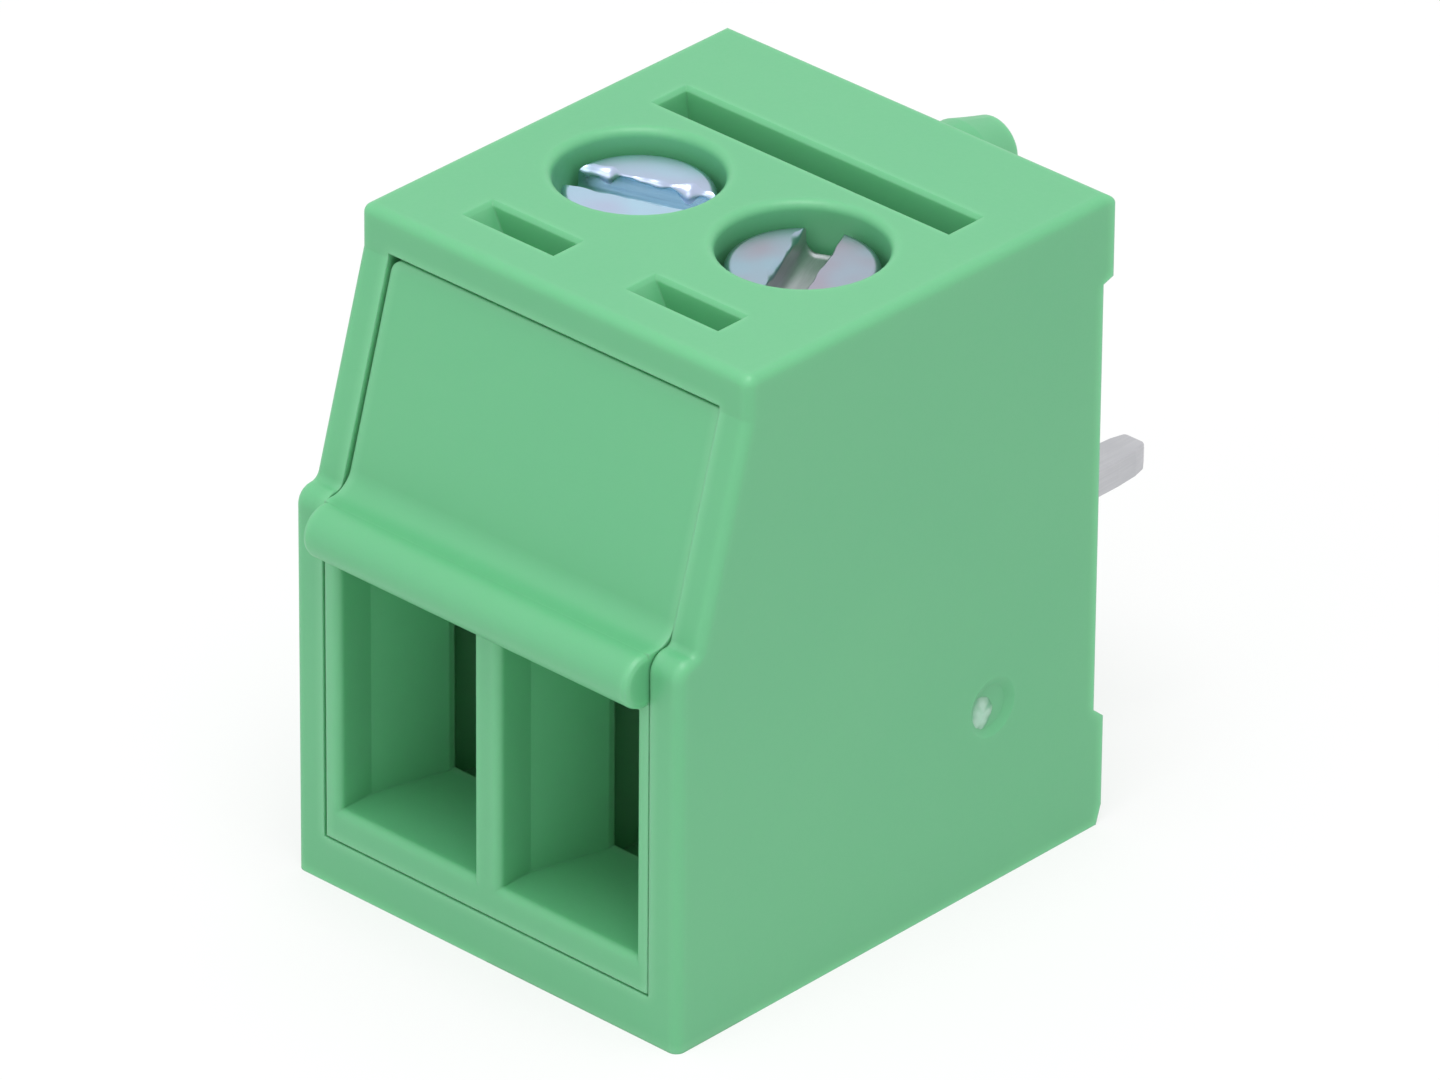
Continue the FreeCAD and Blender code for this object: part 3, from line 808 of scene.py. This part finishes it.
    def build(self, turned: bpy.types.Material, sawn: bpy.types.Material) -> None:
        """Build the screw where its solid stands, and let it stand for that solid.

        Args:
            turned: the finish of the whole screw.
            sawn: the finish inside the driver slot.
        """
        node = f"screw_{self.pole}"
        lowest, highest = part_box(node)
        axis = (lowest + highest) / 2
        axis.z = 0
        tip = lowest.z * PER_MM
        top = highest.z * PER_MM
        low = top - self.head_height
        radius = (highest.x - lowest.x) / 2 * PER_MM
        profile = self._head_profile(radius, low, top)
        head = new_piece(f"clamp_screw_{self.pole}", self._lathe(profile, f"head_{self.pole}"))
        cutter = self._slot_cutter(radius, top)
        cut = head.modifiers.new("driver_slot", "BOOLEAN")
        cut.operation = "DIFFERENCE"
        cut.solver = "EXACT"
        cut.object = cutter
        bake_modifiers(head)
        bpy.data.objects.remove(cutter)
        work = bmesh.new()
        work.from_mesh(head.data)
        work.from_mesh(self._shank(tip, low))
        work.to_mesh(head.data)
        work.free()
        give_material(head, turned, sawn)
        self._mark_slot(head.data, top)
        head.data.polygons.foreach_set("use_smooth", [True] * len(head.data.polygons))
        head.data.set_sharp_from_angle(angle=math.radians(self.sharp_from))
        even = head.modifiers.new("even_shading", "WEIGHTED_NORMAL")
        even.keep_sharp = True
        head.location = axis
        head.rotation_euler.z = math.radians(self.slot_turn)
        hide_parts(node)
        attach(head, node)
        log.info("built %s", head.name)


@dataclass
class ClampCage:
    """One clamp cage, folded from plated strip."""

    pole: int
    edges: SoftEdges = field(default_factory=lambda: SoftEdges(radius=0.05))

    def build(self, material: bpy.types.Material) -> None:
        """Dress the cage.

        Args:
            material: its finish.
        """
        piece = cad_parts[f"cage_{self.pole}"]
        self.edges.dress(piece)
        give_material(piece, material)
        log.info("dressed %s", piece.name)


@dataclass
class Contact:
    """One current bar with its solder pin, stamped from strip."""

    pole: int
    edges: SoftEdges = field(default_factory=lambda: SoftEdges(radius=0.04))

    def build(self, material: bpy.types.Material) -> None:
        """Dress the contact.

        Args:
            material: its finish.
        """
        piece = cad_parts[f"contact_{self.pole}"]
        self.edges.dress(piece)
        give_material(piece, material)
        log.info("dressed %s", piece.name)


@dataclass
class GateScar:
    """The torn stub left in the gate's dimple on the right side; its material pales it towards the top, as
    stress whitening where the plastic was stretched and as a painted highlight.
    """

    centre_y: float = 2.34
    centre_z: float = 3.46
    dimple_depth: float = 0.09
    length: float = 0.74
    width: float = 0.68
    height: float = 0.072
    lean: float = 58.0
    foot_sink: float = 0.01
    ragged_share: float = 0.22
    ragged_scale: float = 1.6
    swell_base: float = 0.72
    swell_share: float = 0.28
    swell_scale: float = 9.0
    swell_pattern: float = 2.5
    rings: int = 7
    around: int = 40

    def _mesh(self) -> bpy.types.Mesh:
        """Low uneven mound on the YZ plane, closed below.

        Returns:
            The mesh, with its foot at X = 0.
        """
        work = bmesh.new()
        top = work.verts.new((self.height * MM, 0, 0))
        last: list[bmesh.types.BMVert] = []
        for ring in range(1, self.rings + 1):
            share = ring / self.rings
            now = []
            for i in range(self.around):
                angle = math.tau * i / self.around
                wide = self.ragged_scale
                place = Vector((math.cos(angle) * wide, math.sin(angle) * wide, share))
                ragged = 1 + self.ragged_share * lattice.noise(place)
                y = self.length / 2 * share * math.cos(angle) * ragged
                z = self.width / 2 * share * math.sin(angle) * ragged
                place = Vector((y * self.swell_scale, z * self.swell_scale, self.swell_pattern))
                swell = self.swell_base + self.swell_share * lattice.noise(place)
                x = self.height * (1 - share**2) * swell - self.foot_sink * share
                now.append(work.verts.new(Vector((x, y, z)) * MM))
            for i in range(self.around):
                j = (i + 1) % self.around
                work.faces.new([top, now[i], now[j]] if ring == 1 else [last[i], now[i], now[j], last[j]])
            last = now
        work.faces.new(list(reversed(last)))
        bmesh.ops.recalc_face_normals(work, faces=work.faces)
        mesh = bpy.data.meshes.new("gate_scar")
        work.to_mesh(mesh)
        work.free()
        return mesh

    def build(self, material: bpy.types.Material) -> None:
        """Set the stub on the floor of the dimple.

        Args:
            material: its finish.
        """
        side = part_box("housing")[1].x
        place = Vector((side - self.dimple_depth * MM, self.centre_y * MM, self.centre_z * MM))
        scar = new_piece("gate_scar", self._mesh(), place)
        scar.rotation_euler.x = math.radians(self.lean)
        scar.data.polygons.foreach_set("use_smooth", [True] * len(scar.data.polygons))
        give_material(scar, material)
        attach(scar, "block")
        log.info("built %s", scar.name)


@dataclass
class Studio:
    """Pale floor, white surroundings and soft lamps at a plain level."""

    floor_half: float = 400.0
    floor_colour: str = "#F4F4F4"
    camera_white: float = 0.7
    sky_level: float = 0.775
    lamps: tuple[tuple[str, tuple[float, float, float], float, float], ...] = (
        ("top_lamp", (26.0, -26.0, 156.0), 90.0, 0.110),
        ("front_lamp", (6.0, -118.0, 96.0), 80.0, 0.017),
    )

    def _seen(self, tree: bpy.types.NodeTree) -> Any:
        """What sees the background straight or through gloss and glass, and so gets it white.

        Args:
            tree: the node tree of the floor or the world.

        Returns:
            The socket that is 1 for such rays.
        """
        rays = add_node(tree, "ShaderNodeLightPath")
        seen = rays.outputs["Is Camera Ray"]
        for name in ("Is Glossy Ray", "Is Transmission Ray"):
            seen = add_node(
                tree, "ShaderNodeMath", {0: seen, 1: rays.outputs[name]}, operation="MAXIMUM"
            ).outputs[0]
        return seen

    def _floor(self) -> None:
        """Lay the floor, white to the camera but still taking the object's shadow."""
        work = bmesh.new()
        bmesh.ops.create_grid(work, x_segments=1, y_segments=1, size=self.floor_half * MM)
        mesh = bpy.data.meshes.new("floor")
        work.to_mesh(mesh)
        work.free()
        floor = new_piece("floor", mesh)
        material, tree = new_material("pale_floor")
        paper = add_node(tree, "ShaderNodeBsdfDiffuse", {"Color": linear(self.floor_colour)})
        white = add_node(tree, "ShaderNodeEmission", {"Color": linear(WHITE), "Strength": 1.0})
        seen = self._seen(tree)
        share = add_node(tree, "ShaderNodeMath", {0: seen, 1: self.camera_white}, operation="MULTIPLY")
        mixed = add_node(
            tree, "ShaderNodeMixShader", {0: share.outputs[0], 1: paper.outputs[0], 2: white.outputs[0]}
        )
        finish_tree(tree, mixed)
        give_material(floor, material)

    def _sky(self) -> None:
        """White surroundings, at the light's plain level for everything but what sees them straight."""
        world = bpy.data.worlds.new("white_room")
        world.use_nodes = True
        tree = world.node_tree
        tree.nodes.clear()
        strength = spread(tree, self._seen(tree), self.sky_level, 1.0)
        sky = add_node(tree, "ShaderNodeBackground", {"Color": linear(WHITE), "Strength": strength})
        add_node(tree, "ShaderNodeOutputWorld", {"Surface": sky.outputs[0]})
        bpy.context.scene.world = world

    def _lamp(self, name: str, place: tuple[float, float, float], size: float, power: float) -> None:
        """Hang one soft lamp that looks at the object.

        Args:
            name: the lamp's name.
            place: where it hangs, in millimetres.
            size: its side, in millimetres.
            power: its power in watts.
        """
        data = bpy.data.lights.new(name, "AREA")
        data.shape = "DISK"
        data.size = size * MM
        data.energy = power
        lamp = bpy.data.objects.new(name, data)
        lamp.location = Vector(place) * MM
        lamp.rotation_mode = "QUATERNION"
        lamp.rotation_quaternion = lamp.location.to_track_quat("Z", "Y")
        bpy.context.scene.collection.objects.link(lamp)

    def build(self) -> None:
        """Set the floor, the surroundings and the lamps."""
        self._floor()
        self._sky()
        for lamp in self.lamps:
            self._lamp(*lamp)
        view = bpy.context.scene.view_settings
        view.view_transform = "Standard"
        log.info("set the studio")


@dataclass
class Camera:
    """The photograph's viewpoint, fitted to the block's edges."""

    azimuth: float = 42.851
    elevation: float = 29.591
    roll: float = 0.4896
    focal_pixels: float = 14121.9
    distance: float = 242.75
    aim: tuple[float, float, float] = (0.0, 0.001, 6.231)
    aside: tuple[float, float] = (-0.3441, 0.0954)
    nearest: float = 10.0
    farthest: float = 5000.0

    def build(self) -> None:
        """Create the camera and make it the scene's."""
        turn, rise, roll = (math.radians(v) for v in (self.azimuth, self.elevation, self.roll))
        back = Vector((math.sin(turn) * math.cos(rise), -math.cos(turn) * math.cos(rise), math.sin(rise)))
        level = Vector((math.cos(turn), math.sin(turn), 0))
        above = back.cross(level)
        right = level * math.cos(roll) + above * math.sin(roll)
        upward = above * math.cos(roll) - level * math.sin(roll)
        place = Vector(self.aim) + back * self.distance - right * self.aside[0] - upward * self.aside[1]
        data = bpy.data.cameras.new("camera")
        data.sensor_width = SENSOR_MM
        data.lens = self.focal_pixels / IMAGE_WIDTH * SENSOR_MM
        data.clip_start = self.nearest * MM
        data.clip_end = self.farthest * MM
        camera = bpy.data.objects.new("camera", data)
        turned = Matrix((right, upward, back)).transposed().to_4x4()
        camera.matrix_world = Matrix.Translation(place * MM) @ turned
        bpy.context.scene.collection.objects.link(camera)
        bpy.context.scene.camera = camera


def main() -> None:
    """Dress the block, piece by piece, and set the scene."""
    logging.basicConfig(level=logging.INFO, format="%(message)s")
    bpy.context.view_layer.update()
    Camera().build()
    Studio().build()
    green = GREEN.material()
    nickel = NICKEL.material()
    tin = TIN.material()
    Mouldings().build(green)
    GateScar().build(TORN.material())
    screws = (
        ClampScrew(
            pole=1, slot_turn=19.0, slot_wear=(0.14, 0.05),
            dent_share=1.9, dent_pattern=19.61, burr_height=0.0,
        ),
        ClampScrew(
            pole=2, slot_turn=-65.0, slot_wear=(0.06, 0.10),
            dent_share=1.2, dent_pattern=10.6, burr_height=0.04,
        ),
    )
    for screw in screws:
        screw.build(ZINC[screw.pole].material(), SAWN[screw.pole].material())
    for pole in POLES:
        ClampCage(pole).build(nickel)
        Contact(pole).build(tin)


if __name__ == "__main__":
    main()
